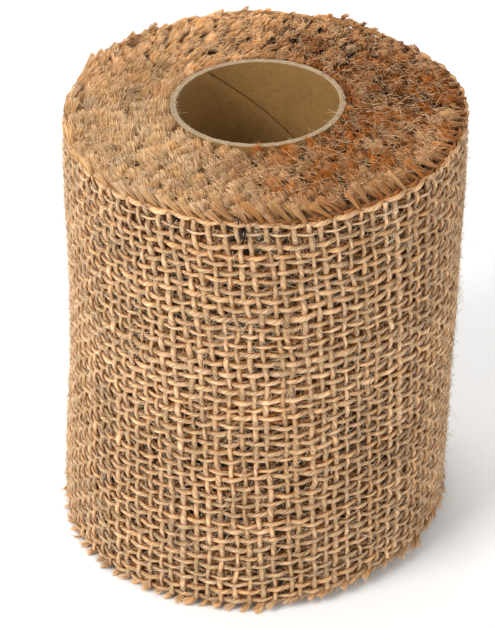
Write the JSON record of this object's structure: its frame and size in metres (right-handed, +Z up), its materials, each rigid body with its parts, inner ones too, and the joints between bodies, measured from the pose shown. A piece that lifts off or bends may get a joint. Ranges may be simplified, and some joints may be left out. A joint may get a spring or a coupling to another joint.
{
  "type": "ribbon spool",
  "caption": "Roll of open-weave natural jute ribbon with frayed cut edges, wound on a spiral-wound cardboard core, with a free end that lifts.",
  "frame": {"origin": "on the core's axis, at the core's lower end, which is level with the floor", "axes": "+Z up along the core's axis; +Y towards the side where the free end lies, -Y towards the side seen from the front; +X to the right"},
  "size_m": [0.0972, 0.098, 0.1145],
  "materials": {
    "jute_yarn": "matte",
    "jute_fringe": "matte",
    "kraft_card": "matte",
    "grey_card": "matte",
    "adhesive": "satin"
  },
  "bodies": {
    "roll": {"core_inner_ply": "kraft_card", "core_middle_ply": "grey_card", "core_outer_ply": "kraft_card", "starting_adhesive_strip": "adhesive", "ribbon_inner_turns": "jute_yarn", "inner_turns_top_fringe": "jute_fringe", "inner_turns_bottom_fringe": "jute_fringe", "outer_turn_warp_yarns": "jute_yarn", "outer_turn_weft_yarns": "jute_yarn"},
    "free_end": {"free_end_warp_yarns": "jute_yarn", "free_end_weft_yarns": "jute_yarn"}
  },
  "joints": [
    {"name": "free_end_lift", "type": "hinge", "parent": "roll", "child": "free_end", "pos_m": [0.01661, 0.04642, 0.057], "axis": [0, 0, -1], "range_deg": [0, 75]}
  ]
}
